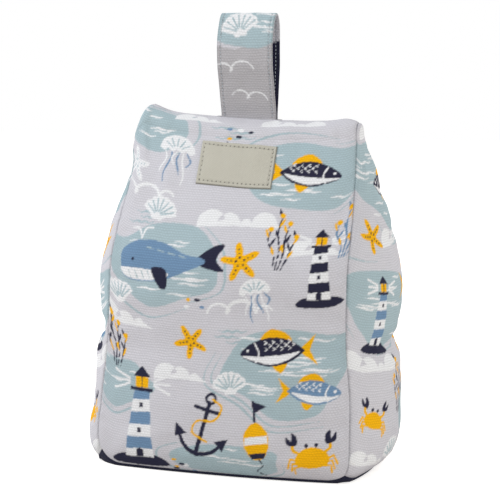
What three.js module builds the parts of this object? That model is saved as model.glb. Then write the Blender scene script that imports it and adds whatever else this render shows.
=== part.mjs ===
// Weighted fabric door stop: a sewn wedge of printed cotton with a strap loop caught in its ridge seam.
// A sealed pouch of sand fills it up to the waist, and loose fibre fills the wedge above.
// Millimetres, +Z up, the labelled front faces -Y, origin on the floor under the middle of the body.
import * as THREE from 'three';

// Cloth and clearances
const clothThickness = 0.9;
const seamGap = 0.3; // between two pieces that touch
const seamAllowance = 9; // turned down inside the ridge seam
const fillClearance = 1; // between the cloth and what it holds

// Heights above the floor
const seamHeight = 3; // base seam, at the middle of a side
const cornerLift = 3; // how much higher the base seam is at the corners
const waistHeight = 87; // crease at the top of the sand
const shoulderHeight = 122; // where the sides start to lean in
const ridgeHeight = 213; // ridge seam, before its ears
const crownHeight = 11; // round roll of cloth beside the ridge seam

// Distances between the seams
const baseWidth = 159;
const waistWidth = 151.5;
const ridgeWidth = 141;
const baseDepth = 91;
const shoulderDepth = 94;
const crownDepth = 20;
const leanSwell = 2.5; // how far the leaning seams bow out, half way up them

// How far each panel swells past its seams
const frontSwell = 12;
const frontWaistSwell = 10;
const crownSwell = 6;
const gussetFootSwell = 6;
const gussetLowSwell = 18;
const gussetWaistSwell = 12.5;
const gussetHighSwell = 19;
const gussetLeanSwell = 10; // half way up the leaning part
const gussetTipSwell = 2.5;
const footRise = 19; // from the base seam up to where a gusset swells in full
const highRise = 25; // the same above the waist
const swellPower = 0.75; // below 1 fills the panel out towards its seams
const footTuck = 1.5; // how far the walls draw in at the base seam
const footRadius = 12; // how far the base curls up at its edge

// Ears, the empty corners that stand up at the ends of the ridge
const leftEar = 9.6;
const rightEar = 2.6;
const leftEarDrop = 11; // from the top of the ear to the very corner
const rightEarDrop = 2.6;
const earReach = 9; // from the corner to the top of the ear
const earFoot = 24; // from the corner to the foot of the ear
const leftFootLift = 4.6; // how far the ridge is pulled up there
const rightFootLift = 0.8;

// Strap, a folded strip of the same cloth
const strapWidth = 35.3;
const strapThickness = 1.8;
const strapRise = 66; // top of the loop above the ridge
const strapTail = 12; // length held inside the ridge seam
const strapMeet = 4; // the two legs lie together up to this far above the ridge
const loopDepth = 6.9; // half of the open width
const loopHeight = 19; // from the widest place to the top
const loopTaper = 0.68; // share of the width that is left half way down the legs
const loopLean = 2; // the loop leans this far to the front
const mouthTaper = 4; // beside the strap, the ridge seam closes over this length

// Woven label on the front
const labelWidth = 48;
const labelHeight = 26;
const labelThickness = 0.8;
const labelDrop = 38; // lower edge below the ridge, measured as a level on the front panel
const labelShift = 1;
const labelGap = 0.5; // above the cloth it is sewn to

// Fillings
const fillCorner = 0.9; // share of a side up to where its corners are cut off for the seams
const fillRound = 5; // how far a filling draws in at its flat ends
const fillShoulder = 3; // length over which it does so
const fillTuck = 1; // how far it already draws in before its ends

// Facets
const sideSteps = 7; // from the strap to a side seam
const strapSteps = 4; // across the strap
const gussetSteps = 10;
const footSteps = 3;
const wallSteps = 13;
const crownSteps = 5;
const loopSteps = 12;
const labelSteps = 4;
const bagSteps = 4;
const fibreSteps = 7;

const strapHalf = strapWidth / 2;
const ridgeHalf = ridgeWidth / 2;
const crownStart = ridgeHeight - crownHeight;
const leanMiddle = (shoulderHeight + crownStart) / 2;
const bellyHeight = (seamHeight + waistHeight) / 2;

const clamp01 = (value) => Math.min(1, Math.max(0, value));
const ease = (value) => clamp01(value) ** 2 * (3 - 2 * clamp01(value));
const swell = (t) => Math.max(0, 1 - t * t) ** swellPower;

// Evenly spaced values from one to another, both included
function evenly(from, to, steps) {
  return Array.from({ length: steps + 1 }, (_, i) => from + ((to - from) * i) / steps);
}

// Values between two ends, packed towards the second one
function packed(from, to, steps) {
  return Array.from({ length: steps + 1 }, (_, i) => from + (to - from) * Math.sin((i / steps) * (Math.PI / 2)));
}

function mirrored(half) {
  return [...half.slice().reverse().map((value) => -value).filter((value) => value < 0), ...half];
}

// A smooth curve through [place, value] stations that never overshoots them
function profile(stations) {
  const slopes = stations.slice(1).map(([h, v], i) => (v - stations[i][1]) / (h - stations[i][0]));
  const tangents = stations.map((_, i) => {
    const before = slopes[i - 1] ?? slopes[i];
    const after = slopes[i] ?? slopes[i - 1];
    return before * after > 0 ? (2 * before * after) / (before + after) : 0;
  });
  return (place) => {
    const last = stations.length - 2;
    const i = Math.min(last, Math.max(0, stations.findLastIndex(([h]) => h <= place)));
    const [h0, v0] = stations[i];
    const [h1, v1] = stations[i + 1];
    const s = clamp01((place - h0) / (h1 - h0));
    const span = h1 - h0;
    const rise = s * s * (3 - 2 * s);
    return v0 + (v1 - v0) * rise + span * s * (1 - s) * ((1 - s) * tangents[i] - s * tangents[i + 1]);
  };
}

const halfWidth = profile([
  [seamHeight, baseWidth / 2 - footTuck],
  [bellyHeight, baseWidth / 2],
  [waistHeight, waistWidth / 2],
  [ridgeHeight, ridgeHalf],
]);

const leaningDepth = profile([
  [seamHeight, baseDepth / 2 - footTuck],
  [bellyHeight, baseDepth / 2],
  [waistHeight, (baseDepth + shoulderDepth) / 4],
  [shoulderHeight, shoulderDepth / 2],
  [leanMiddle, (shoulderDepth + crownDepth) / 4 + leanSwell],
  [crownStart, crownDepth / 2],
]);

const frontBulge = profile([
  [seamHeight, frontWaistSwell - footTuck],
  [bellyHeight, frontSwell],
  [waistHeight, frontWaistSwell],
  [shoulderHeight, frontSwell],
  [crownStart, crownSwell],
]);

const gussetBulge = profile([
  [seamHeight, gussetFootSwell],
  [seamHeight + footRise, gussetLowSwell],
  [bellyHeight, gussetLowSwell],
  [waistHeight, gussetWaistSwell],
  [waistHeight + highRise, gussetHighSwell],
  [leanMiddle, gussetLeanSwell],
  [crownStart, gussetTipSwell],
]);

// Share of the crown roll that is left at a height, from 1 at its foot to 0 at the ridge
function crownShare(height) {
  const climb = clamp01((height - crownStart) / crownHeight);
  return Math.sqrt(1 - climb * climb);
}

const halfDepth = (height) => leaningDepth(height) * crownShare(height);

const earClimb = profile([
  [earReach / ridgeHalf - 1, leftEar],
  [earFoot / ridgeHalf - 1, leftFootLift],
  [1 - earFoot / ridgeHalf, rightFootLift],
  [1 - earReach / ridgeHalf, rightEar],
]);

// The ridge stands up at its ears and falls off at the very corners
function ridgeLift(t) {
  const corner = clamp01(1 - ((1 - Math.abs(t)) * ridgeHalf) / earReach);
  return earClimb(t) - (t < 0 ? leftEarDrop : rightEarDrop) * corner * corner;
}

const topShare = (height) => ease((height - shoulderHeight) / (ridgeHeight - shoulderHeight));
const footShare = (height) => 1 - ease((height - seamHeight) / (bellyHeight - seamHeight));

function frontPoint(t, height, facing = -1) {
  const y = Math.max(seamGap / 2, halfDepth(height) + frontBulge(height) * swell(t) * crownShare(height));
  const lift = ridgeLift(t) * topShare(height) + cornerLift * t ** 4 * footShare(height);
  return new THREE.Vector3(halfWidth(height) * t, facing * y, height + lift);
}

function gussetPoint(s, height, side) {
  const x = halfWidth(height) + gussetBulge(height) * swell(s) * crownShare(height);
  const lift = ridgeLift(side) * topShare(height) + cornerLift * s ** 4 * footShare(height);
  return new THREE.Vector3(side * x, halfDepth(height) * s, height + lift);
}

function basePoint(a, b) {
  const width = halfWidth(seamHeight);
  const depth = halfDepth(seamHeight);
  const x = a * (width + gussetBulge(seamHeight) * swell(b));
  const y = b * (depth + frontBulge(seamHeight) * swell(a));
  const inX = ((1 - Math.abs(a)) * width) / footRadius;
  const inY = ((1 - Math.abs(b)) * depth) / footRadius;
  const edge = 1 - clamp01(Math.min(inX, inY));
  const rim = seamHeight + cornerLift * Math.min(Math.abs(a), Math.abs(b)) ** 4;
  return new THREE.Vector3(x, y, rim * (1 - Math.sqrt(1 - edge * edge)));
}

// Columns and levels: the ridge seam parts for the strap and closes again at the mouth's ends
const strapEdge = (strapHalf + 2 * seamGap) / ridgeHalf;
const mouthEdge = strapEdge + mouthTaper / ridgeHalf;
const besideMouth = packed(mouthEdge, 1, sideSteps);
const acrossFront = mirrored([...evenly(0, strapEdge, strapSteps / 2), ...besideMouth]);
const acrossGusset = mirrored(packed(0, 1, gussetSteps / 2));
const footLevels = packed(seamHeight + footRise, seamHeight, footSteps).reverse();
const wallLevels = [...footLevels, ...evenly(seamHeight + footRise, crownStart, wallSteps).slice(1)];
const crownLevels = packed(crownStart, ridgeHeight, crownSteps).slice(1);

// A surface of four-cornered cells, facing out where its columns run to the right of its rows
function surface(columns, rows, at, keeps = () => true) {
  const points = rows.flatMap((row) => columns.map((column) => at(column, row)));
  const cells = [];
  for (let j = 0; j + 1 < rows.length; j += 1) {
    for (let i = 0; i + 1 < columns.length; i += 1) {
      const corner = j * columns.length + i;
      if (keeps(columns[i], columns[i + 1], rows[j])) {
        cells.push([corner, corner + 1, corner + columns.length + 1, corner + columns.length]);
      }
    }
  }
  return { points, cells };
}

const flipped = ({ points, cells }) => ({ points, cells: cells.map((cell) => cell.slice().reverse()) });

function cellNormal(points, [a, b, c, d]) {
  const first = points[c].clone().sub(points[a]);
  return first.cross(points[d].clone().sub(points[b])).normalize();
}

const place = ({ x, y, z }) => [x, y, z].map((value) => Math.round(value * 1000)).join();

// Normals shared by every panel that meets at a point, so that cut edges are mitred
function sharedNormals(surfaces) {
  const shared = new Map();
  for (const { points, cells } of surfaces) {
    for (const cell of cells) {
      const normal = cellNormal(points, cell);
      for (const index of cell) {
        const key = place(points[index]);
        shared.set(key, [...(shared.get(key) ?? []), normal]);
      }
    }
  }
  return shared;
}

const vectorSum = (vectors) => vectors.reduce((sum, each) => sum.add(each), new THREE.Vector3());

// Edges with a cell on one side only, as [from, to, normal of that cell]
function openEdges({ points, cells }) {
  const edges = new Map();
  for (const cell of cells) {
    cell.forEach((from, i) => {
      const to = cell[(i + 1) % 4];
      if (!edges.delete(`${to},${from}`)) edges.set(`${from},${to}`, [from, to, cellNormal(points, cell)]);
    });
  }
  return [...edges.values()];
}

// The move that draws a panel back from its own edge by half a seam gap
function drawnBack({ points }, edges) {
  const leastSpread = 0.7; // keeps a sharp corner from being drawn back too far
  const inward = new Map();
  for (const [from, to, normal] of edges) {
    const along = points[to].clone().sub(points[from]);
    const step = normal.clone().cross(along).normalize();
    for (const index of [from, to]) inward.set(index, [...(inward.get(index) ?? []), step]);
  }
  return new Map([...inward].map(([index, steps]) => {
    const sum = vectorSum(steps);
    const spread = sum.lengthSq() / steps.length;
    return [index, sum.multiplyScalar(seamGap / 2 / Math.max(leastSpread, spread))];
  }));
}

// A closed body from a surface: its outer face, the same face one thickness in, and the cut edges
function thickened(sheet, thickness, normals) {
  const leastLean = 0.5; // keeps a mitred edge under twice the thickness
  const edges = openEdges(sheet);
  const back = drawnBack(sheet, edges);
  const count = sheet.points.length;
  const outer = sheet.points.map((point, i) => point.clone().add(back.get(i) ?? new THREE.Vector3()));
  const inner = sheet.points.map((point, i) => {
    const around = normals.get(place(point)) ?? [];
    const normal = vectorSum(around).normalize();
    const lean = around.reduce((sum, each) => sum + each.dot(normal), 0) / around.length;
    return outer[i].clone().addScaledVector(normal, -thickness / Math.max(leastLean, lean));
  });
  const faces = [];
  for (const [a, b, c, d] of sheet.cells) {
    faces.push([a, b, c], [a, c, d]);
    faces.push([c + count, b + count, a + count], [d + count, c + count, a + count]);
  }
  for (const [from, to] of edges) faces.push([to, from, from + count], [to, from + count, to + count]);
  return solid([...outer, ...inner], faces);
}

function solid(points, faces) {
  const geometry = new THREE.BufferGeometry();
  geometry.setAttribute('position', new THREE.Float32BufferAttribute(points.flatMap((p) => p.toArray()), 3));
  geometry.setIndex(faces.flat());
  geometry.computeVertexNormals();
  return geometry;
}

// Front and back panels, with the allowance that turns down inside the ridge seam
const panelRows = [
  ...[...wallLevels, ...crownLevels].map((height) => ({ height, drop: 0 })),
  ...[seamAllowance / 3, seamAllowance].map((drop) => ({ height: ridgeHeight, drop })),
];

// Half the opening of the ridge seam, which holds the strap
function mouthHalf(x) {
  const open = clamp01((mouthEdge * ridgeHalf - Math.abs(x)) / mouthTaper);
  return seamGap / 2 + open * (strapThickness + seamGap);
}

function panelPoint(t, { height, drop }) {
  const point = frontPoint(t, height);
  point.y = Math.min(point.y, -mouthHalf(point.x));
  point.z -= drop;
  return point;
}

// The allowance stops one cell short of each side seam
const allowanceEnd = (besideMouth[sideSteps - 2] + besideMouth[sideSteps - 1]) / 2;
const inAllowance = (from, to, row) =>
  row.height < ridgeHeight || (Math.abs(from) <= allowanceEnd && Math.abs(to) <= allowanceEnd);
const toBack = new THREE.Vector3(1, -1, 1);

const frontSheet = surface(acrossFront, panelRows, panelPoint, inAllowance);
const backSheet = flipped(
  surface(acrossFront, panelRows, (t, row) => panelPoint(t, row).multiply(toBack), inAllowance),
);

// Gussets stop at the last roll level, where front and back close over their tips
const gussetLevels = [...wallLevels, ...crownLevels.slice(0, -1)];
const rightSheet = surface(acrossGusset, gussetLevels, (s, height) => gussetPoint(s, height, 1));
const leftSheet = flipped(surface(acrossGusset, gussetLevels, (s, height) => gussetPoint(s, height, -1)));

const baseSheet = flipped(surface(acrossFront, acrossGusset, basePoint));

const bodyNormals = sharedNormals([frontSheet, backSheet, rightSheet, leftSheet, baseSheet]);
const panel = (sheet) => thickened(sheet, clothThickness, bodyNormals);

// Strap: two tails held in the ridge seam, legs that part above it, and a round top
function strapLine() {
  const tail = ridgeHeight - strapTail;
  const meet = ridgeHeight + strapMeet;
  const top = ridgeHeight + strapRise - strapThickness;
  const widest = top - loopHeight;
  const closed = seamGap / 2;
  const leg = profile([
    [tail, closed],
    [meet, closed],
    [(meet + widest) / 2, loopDepth * loopTaper],
    [widest, loopDepth],
  ]);
  const lean = (height) => loopLean * ease((height - meet) / (widest - meet)) * ease((top - height) / loopHeight);
  const levels = [tail, ...evenly(meet, widest, loopSteps)];
  const legPoints = (side) => levels.map((height) => [side * leg(height) - lean(height), height]);
  const arc = evenly(Math.PI, 0, loopSteps).slice(1, -1).map((angle) => {
    const height = widest + loopHeight * Math.sin(angle);
    return [loopDepth * Math.cos(angle) - lean(height), height];
  });
  return [...legPoints(-1), ...arc, ...legPoints(1).reverse()];
}

// The strap's inner face follows the line, and its thickness lies outside it
function strapBody() {
  const sheet = surface([-strapHalf, 0, strapHalf], strapLine(), (x, [y, z]) => new THREE.Vector3(x, y, z));
  const inside = flipped(sheet);
  return thickened(inside, strapThickness, sharedNormals([inside]));
}

// Label: a patch that follows the front panel
function labelBody() {
  const run = crownStart - shoulderHeight;
  const slope = Math.hypot(1, (leaningDepth(shoulderHeight) - leaningDepth(crownStart)) / run);
  const columns = evenly(labelShift - labelWidth / 2, labelShift + labelWidth / 2, labelSteps);
  const lowest = ridgeHeight - labelDrop;
  const rows = evenly(lowest, lowest + labelHeight / slope, labelSteps);
  const sheet = surface(columns, rows, (x, height) => frontPoint(x / halfWidth(height), height));
  const normals = sharedNormals([sheet]);
  const lifted = sheet.points.map((point) => {
    const normal = vectorSum(normals.get(place(point))).normalize();
    return point.clone().addScaledVector(normal, labelGap + labelThickness);
  });
  const raised = { points: lifted, cells: sheet.cells };
  return thickened(raised, labelThickness, sharedNormals([raised]));
}

// One ring of a filling: the outline of the body drawn in, with its corners cut off for the seams
function ring(height, level, inset) {
  const across = [-1, -0.75, -0.45, -0.15, 0.15, 0.45, 0.75, 1].map((t) => t * fillCorner);
  const width = halfWidth(height) - inset;
  const depth = halfDepth(height) - inset;
  const front = across.map((t) => [width * t, -depth - frontBulge(height) * swell(t)]);
  const right = across.map((s) => [width + gussetBulge(height) * swell(s), depth * s]);
  const half = [...front, ...right];
  const outline = [...half, ...half.map(([x, y]) => [-x, -y])];
  return outline.map(([x, y]) => new THREE.Vector3(x, y, level));
}

// A closed body through rings, with a flat lid at each end
function stacked(rings) {
  const count = rings[0].length;
  const points = rings.flat();
  const faces = [];
  for (let j = 0; j + 1 < rings.length; j += 1) {
    for (let i = 0; i < count; i += 1) {
      const [a, b] = [j * count + i, j * count + ((i + 1) % count)];
      faces.push([a, b, b + count], [a, b + count, a + count]);
    }
  }
  for (const [j, turned] of [[0, true], [rings.length - 1, false]]) {
    const middle = points.length;
    points.push(vectorSum(rings[j]).divideScalar(count));
    for (let i = 0; i < count; i += 1) {
      const [a, b] = [j * count + i, j * count + ((i + 1) % count)];
      faces.push(turned ? [b, a, middle] : [a, b, middle]);
    }
  }
  return solid(points, faces);
}

const fillInset = clothThickness + fillClearance;

function weightBag() {
  const floor = clothThickness + seamGap;
  const foot = seamHeight + cornerLift;
  const top = waistHeight - seamGap / 2;
  const wall = evenly(foot, top, bagSteps).slice(1, -1);
  return stacked([
    ring(seamHeight, floor, fillInset + footRadius),
    ring(seamHeight, foot, fillInset + fillTuck),
    ...wall.map((height) => ring(height, height, fillInset)),
    ring(top, top - fillShoulder, fillInset + fillTuck),
    ring(top, top, fillInset + fillRound),
  ]);
}

function fibreFilling() {
  const bottom = waistHeight + seamGap / 2;
  const top = ridgeHeight - Math.max(strapTail, seamAllowance) - seamGap;
  const wall = evenly(bottom, top, fibreSteps).slice(1);
  return stacked([
    ring(bottom, bottom, fillInset + fillRound),
    ring(bottom, bottom + fillShoulder, fillInset + fillTuck),
    ...wall.map((height) => ring(height, height, fillInset + fillTuck)),
  ]);
}

const matt = (color) => new THREE.MeshStandardMaterial({ color, roughness: 0.9, metalness: 0 });
const printedCloth = matt(0xd0d0d4);
const navyCloth = matt(0x1c1e30);
const twillRibbon = matt(0x9a968a);
const sandPouch = matt(0xb9a27c);
const whiteFibre = matt(0xf2f0ea);

const pieces = [
  ['front_panel', panel(frontSheet), printedCloth],
  ['back_panel', panel(backSheet), printedCloth],
  ['left_gusset', panel(leftSheet), printedCloth],
  ['right_gusset', panel(rightSheet), printedCloth],
  ['base_panel', panel(baseSheet), navyCloth],
  ['carry_strap', strapBody(), printedCloth],
  ['front_label', labelBody(), twillRibbon],
  ['weight_bag', weightBag(), sandPouch],
  ['fibre_filling', fibreFilling(), whiteFibre],
];

const doorStop = new THREE.Group();
for (const [name, geometry, material] of pieces) {
  const mesh = new THREE.Mesh(geometry, material);
  mesh.name = name;
  doorStop.add(mesh);
}

export default doorStop;
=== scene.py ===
# Looks of the weighted fabric door stop: printed cotton panels, strap loop, bare label and dark base.
# Lengths are in millimetres up to the mesh builder, which turns them into metres.
import math

import bmesh
import bpy
import numpy as np
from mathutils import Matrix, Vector


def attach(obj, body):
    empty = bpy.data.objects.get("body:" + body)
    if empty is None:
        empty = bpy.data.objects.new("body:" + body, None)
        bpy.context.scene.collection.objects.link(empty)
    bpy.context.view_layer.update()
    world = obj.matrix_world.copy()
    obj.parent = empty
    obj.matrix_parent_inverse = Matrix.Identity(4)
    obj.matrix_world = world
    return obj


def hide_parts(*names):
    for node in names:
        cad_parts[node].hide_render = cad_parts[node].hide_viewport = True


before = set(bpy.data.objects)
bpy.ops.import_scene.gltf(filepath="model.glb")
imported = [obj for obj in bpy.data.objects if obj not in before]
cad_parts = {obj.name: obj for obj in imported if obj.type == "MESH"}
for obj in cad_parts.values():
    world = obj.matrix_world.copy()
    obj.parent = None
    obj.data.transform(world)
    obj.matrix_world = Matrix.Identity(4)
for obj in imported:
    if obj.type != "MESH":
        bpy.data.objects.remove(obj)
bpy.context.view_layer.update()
MM = 0.001

# Body, as in the solids
SEAM_HEIGHT = 2.2
WAIST_HEIGHT = 87.0
SHOULDER_HEIGHT = 122.0
RIDGE_HEIGHT = 213.0
CROWN_HEIGHT = 11.0
BASE_DEPTH = 91.0
SHOULDER_DEPTH = 94.0
CROWN_DEPTH = 20.0
LEAN_SWELL = 2.5
FRONT_SWELL = 12.0
FRONT_WAIST_SWELL = 10.0
CROWN_SWELL = 6.0
SWELL_POWER = 0.75
CORNER_RADIUS = 11.0
CORNER_START = 3.2
LEFT_CORNER_RADIUS = 14.0
LEFT_CORNER_BELOW = 1.7
LEFT_CORNER_BESIDE = 7.3
LEFT_EAR = 9.6
RIGHT_EAR = 2.6
LEFT_EAR_DROP = 11.0
EAR_REACH = 9.0
RIDGE_HALF = 70.5
FOOT_REACH = 40.0
MOUTH_REACH = 5.0
CLOSED_SEAM = 0.15
CROWN_STEPS = 30

# Strap and label
STRAP_WIDTH = 34.6
STRAP_THICKNESS = 1.8
STRAP_RISE = 66.0
STRAP_TAIL = 9.0
STRAP_SHIFT = 1.0
STRAP_CLOSED = 0.2
STRAP_STITCH = 2.0
STRAP_INSIDE = 60.0
EDGE_ROLL = 0.4
LOOP_DEPTH = 6.9
LOOP_HEIGHT = 19.0
LOOP_LEAN = 2.0
STITCH_STEP = 2.3
STITCH_LENGTH = 1.6
STITCH_SUNK = 0.25
THREAD_RADIUS = 0.21
THREAD_ARCH = 0.18
LABEL_WIDTH = 48.0
LABEL_HEIGHT = 26.0
LABEL_THICKNESS = 0.8
LABEL_TURN = -1.2
LABEL_SLANT = 0.06
LABEL_RUN = 24.7
LABEL_STITCH = 2.2
LABEL_STEP = 2.7
LABEL_LEVEL = 173.7
LABEL_SHIFT = 1.0
LABEL_RISE = 0.15

# Inside and underneath
FILLING_INSET = 5.0
SAND_ROUNDING = 16.0
FIBRE_ROUNDING = 14.0
BASE_CURL = 7.0
CORNER_DRAW = 2.2

# Cells of the finished cloth, and its threads
CELL = 0.64
PANEL_COLUMNS = 243
GUSSET_COLUMNS = 165
SEAM_PACKING = 0.31
WARP = 0.95
WEFT = 1.55
WEAVE_LEVEL = 0.58
WEAVE_GAP_SHADE = 0.28
TWILL_STEP = 1.1

CROWN_START = RIDGE_HEIGHT - CROWN_HEIGHT
SAND_SPAN = (3.0, WAIST_HEIGHT - 2)
FIBRE_SPAN = (WAIST_HEIGHT + 1, CROWN_START)
BELLY_HEIGHT = (SEAM_HEIGHT + WAIST_HEIGHT) / 2


def ease(value):
    value = np.clip(value, 0.0, 1.0)
    return value * value * (3 - 2 * value)


def profile(*stations):
    """A smooth curve through (height, value) stations that never overshoots them."""
    height, value = np.array(stations, float).T
    slope = np.diff(value) / np.diff(height)
    before = np.concatenate([slope[:1], slope])
    after = np.concatenate([slope, slope[-1:]])
    same = before * after > 0
    tangent = np.where(same, 2 * before * after / np.where(same, before + after, 1), 0)

    def at(level):
        level = np.asarray(level, float)
        i = np.clip(np.searchsorted(height, level, side="right") - 1, 0, len(slope) - 1)
        span = height[i + 1] - height[i]
        s = np.clip((level - height[i]) / span, 0, 1)
        rise = value[i] + (value[i + 1] - value[i]) * s * s * (3 - 2 * s)
        return rise + span * s * (1 - s) * ((1 - s) * tangent[i] - s * tangent[i + 1])

    return at


right_width = profile(
    (SEAM_HEIGHT, 77.5), (BELLY_HEIGHT, 78), (WAIST_HEIGHT, 75.5), (130, 75), (RIDGE_HEIGHT, RIDGE_HALF)
)
left_width = profile(
    (SEAM_HEIGHT, 83.5), (22, 83), (BELLY_HEIGHT, 80.5), (WAIST_HEIGHT, 75.5),
    (150, 73.5), (186, 70), (199, 72), (RIDGE_HEIGHT, RIDGE_HALF),
)
sway = profile((SEAM_HEIGHT, 0), (WAIST_HEIGHT, 0), (125, 0.9), (160, 1.6), (180, 1.4), (RIDGE_HEIGHT, 0))
leaning_depth = profile(
    (SEAM_HEIGHT, BASE_DEPTH / 2),
    (BELLY_HEIGHT, BASE_DEPTH / 2),
    (WAIST_HEIGHT, (BASE_DEPTH + SHOULDER_DEPTH) / 4),
    (SHOULDER_HEIGHT, SHOULDER_DEPTH / 2),
    ((SHOULDER_HEIGHT + CROWN_START) / 2, (SHOULDER_DEPTH + CROWN_DEPTH) / 4 + LEAN_SWELL),
    (CROWN_START, CROWN_DEPTH / 2),
)
front_bulge = profile(
    (SEAM_HEIGHT, FRONT_WAIST_SWELL - 4),
    (SEAM_HEIGHT + 14, FRONT_SWELL - 1),
    (BELLY_HEIGHT, FRONT_SWELL),
    (WAIST_HEIGHT, FRONT_WAIST_SWELL),
    (SHOULDER_HEIGHT, FRONT_SWELL),
    (CROWN_START, CROWN_SWELL),
)
right_bulge = profile(
    (SEAM_HEIGHT, 8), (6, 12), (12, 15.5), (22, 17.5), (40, 18.5),
    (WAIST_HEIGHT - 20, 18.5), (WAIST_HEIGHT - 7, 17), (WAIST_HEIGHT + 5, 19.5),
    (115, 20.5), (135, 16.5), (160, 11.5), (185, 6), (CROWN_START, 2),
)
left_bulge = profile(
    (SEAM_HEIGHT, 13.5), (6, 16.5), (12, 18.5), (22, 19), (40, 17),
    (WAIST_HEIGHT - 12, 18), (WAIST_HEIGHT, 12.5), (WAIST_HEIGHT + 12, 17),
    (115, 18.5), (135, 16.5), (160, 10.5), (185, 4.5), (CROWN_START, 1),
)


def swell(t):
    return np.maximum(0, 1 - t * t) ** SWELL_POWER


def crown_share(height):
    climb = np.clip((height - CROWN_START) / CROWN_HEIGHT, 0, 1)
    return np.sqrt(1 - climb * climb)


def corner_inset(distance, start=CORNER_START, radius=CORNER_RADIUS):
    """How far a rounded panel corner lies inside the sharp one, at a distance along its edge."""
    along = np.clip(start + np.maximum(distance, 0) * (1 - start / radius), 0, radius)
    return radius - np.sqrt(radius**2 - (radius - along) ** 2)


def foot_lift(distance, side, height):
    """How far the base seam climbs at a corner, rounder on the left; it fades out up the wall."""
    left = corner_inset(distance, LEFT_CORNER_BELOW, LEFT_CORNER_RADIUS)
    lift = np.where(side < 0, left, corner_inset(distance))
    return lift * (1 - ease((height - SEAM_HEIGHT) / FOOT_REACH))


ear_climb = profile(
    (EAR_REACH / RIDGE_HALF - 1, LEFT_EAR),
    (-0.66, 4.6),
    (0.66, 0.8),
    (1 - EAR_REACH / RIDGE_HALF, RIGHT_EAR),
)


def ear_lift(t):
    """The ridge stands up at its ears and falls off at the very corners."""
    corner = np.clip(1 - (1 - np.abs(t)) * RIDGE_HALF / EAR_REACH, 0, 1)
    return ear_climb(t) - np.where(t < 0, LEFT_EAR_DROP, RIGHT_EAR) * corner**2


def top_share(height):
    return ease((height - SHOULDER_HEIGHT) / (RIDGE_HEIGHT - SHOULDER_HEIGHT))


def seam_width(height, side):
    """Half width at the side seam, with the rounded corner of the panel at its foot."""
    above = height - SEAM_HEIGHT
    if side < 0:
        return left_width(height) - corner_inset(above, LEFT_CORNER_BESIDE, LEFT_CORNER_RADIUS)
    return right_width(height) - corner_inset(above)


def seam_depth(height):
    return (leaning_depth(height) - corner_inset(height - SEAM_HEIGHT)) * crown_share(height)


def mouth(x):
    """Least half depth of the ridge, which opens for the strap."""
    beside = np.abs(x - STRAP_SHIFT) - STRAP_WIDTH / 2
    room = STRAP_THICKNESS + STRAP_CLOSED + 0.2
    return CLOSED_SEAM + room * (1 - ease((beside - 0.5) / MOUTH_REACH))


def front_wall(t, height):
    """Front panel before its folds; the back panel is its mirror."""
    width = np.where(t < 0, seam_width(height, -1), seam_width(height, 1))
    x = width * t + sway(height)
    y = seam_depth(height) + front_bulge(height) * swell(t) * crown_share(height)
    lift = ear_lift(t) * top_share(height) + foot_lift((1 - np.abs(t)) * width, t, height)
    return np.stack([x, -np.maximum(y, mouth(x)), height + lift], -1)


def gusset_wall(s, height, side):
    bulge = left_bulge(height) if side < 0 else right_bulge(height)
    x = seam_width(height, side) + bulge * swell(s) * crown_share(height)
    depth = seam_depth(height)
    ear = ear_lift(np.float64(side)) * top_share(height)
    lift = ear + foot_lift((1 - np.abs(s)) * depth, side, height)
    return np.stack([side * x + sway(height), depth * s, height + lift], -1)


def wall_levels():
    wall = np.linspace(SEAM_HEIGHT, CROWN_START, round((CROWN_START - SEAM_HEIGHT) / CELL))
    turn = np.linspace(0, math.pi / 2, CROWN_STEPS)[1:]
    return np.concatenate([wall, CROWN_START + CROWN_HEIGHT * np.sin(turn)])


LEVELS = wall_levels()


# Grids of points: rows run up, columns run to the right seen from outside
def grid_normals(points):
    along = np.gradient(points, axis=1)
    up = np.gradient(points, axis=0)
    normal = np.cross(along, up)
    return normal / np.maximum(np.linalg.norm(normal, axis=2, keepdims=True), 1e-9)


def arc_lengths(points, axis=0):
    steps = np.linalg.norm(np.diff(points, axis=axis), axis=-1)
    return np.insert(np.cumsum(steps, axis), 0, 0, axis)


def ripple(place, wavelengths, seed):
    """A repeatable soft noise along one coordinate, between about -1 and 1."""
    dice = np.random.default_rng(seed)
    total = np.zeros_like(np.asarray(place, float))
    for length in wavelengths:
        total += np.sin(place * (2 * math.pi / length) + dice.uniform(0, 2 * math.pi)) / len(wavelengths)
    return total


DAPPLE_WAVES = 7


def dapple(u, v, scale, seed):
    """A repeatable soft noise over a surface, between about -1 and 1."""
    dice = np.random.default_rng(seed)
    total = np.zeros_like(u)
    for _ in range(DAPPLE_WAVES):
        turn = dice.uniform(0, 2 * math.pi)
        length = scale * dice.uniform(0.7, 1.6)
        phase = dice.uniform(0, 2 * math.pi)
        total += np.sin((u * math.cos(turn) + v * math.sin(turn)) * 2 * math.pi / length + phase)
    return total / (DAPPLE_WAVES / 2)


# Pieces of mesh
def new_object(name, mesh):
    piece = bpy.data.objects.new(name, mesh)
    bpy.context.scene.collection.objects.link(piece)
    return piece


def mesh_from(name, points, quads):
    """A smooth mesh from points in millimetres and four-cornered faces."""
    mesh = bpy.data.meshes.new(name)
    points = np.asarray(points, np.float32).reshape(-1, 3) * MM
    quads = np.asarray(quads, np.int32).reshape(-1, 4)
    mesh.vertices.add(len(points))
    mesh.vertices.foreach_set("co", points.ravel())
    mesh.loops.add(quads.size)
    mesh.loops.foreach_set("vertex_index", quads.ravel())
    mesh.polygons.add(len(quads))
    mesh.polygons.foreach_set("loop_start", np.arange(0, quads.size, 4, dtype=np.int32))
    mesh.polygons.foreach_set("loop_total", np.full(len(quads), 4, np.int32))
    mesh.update(calc_edges=True)
    mesh.polygons.foreach_set("use_smooth", np.ones(len(quads), bool))
    mesh.validate()
    return mesh


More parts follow.
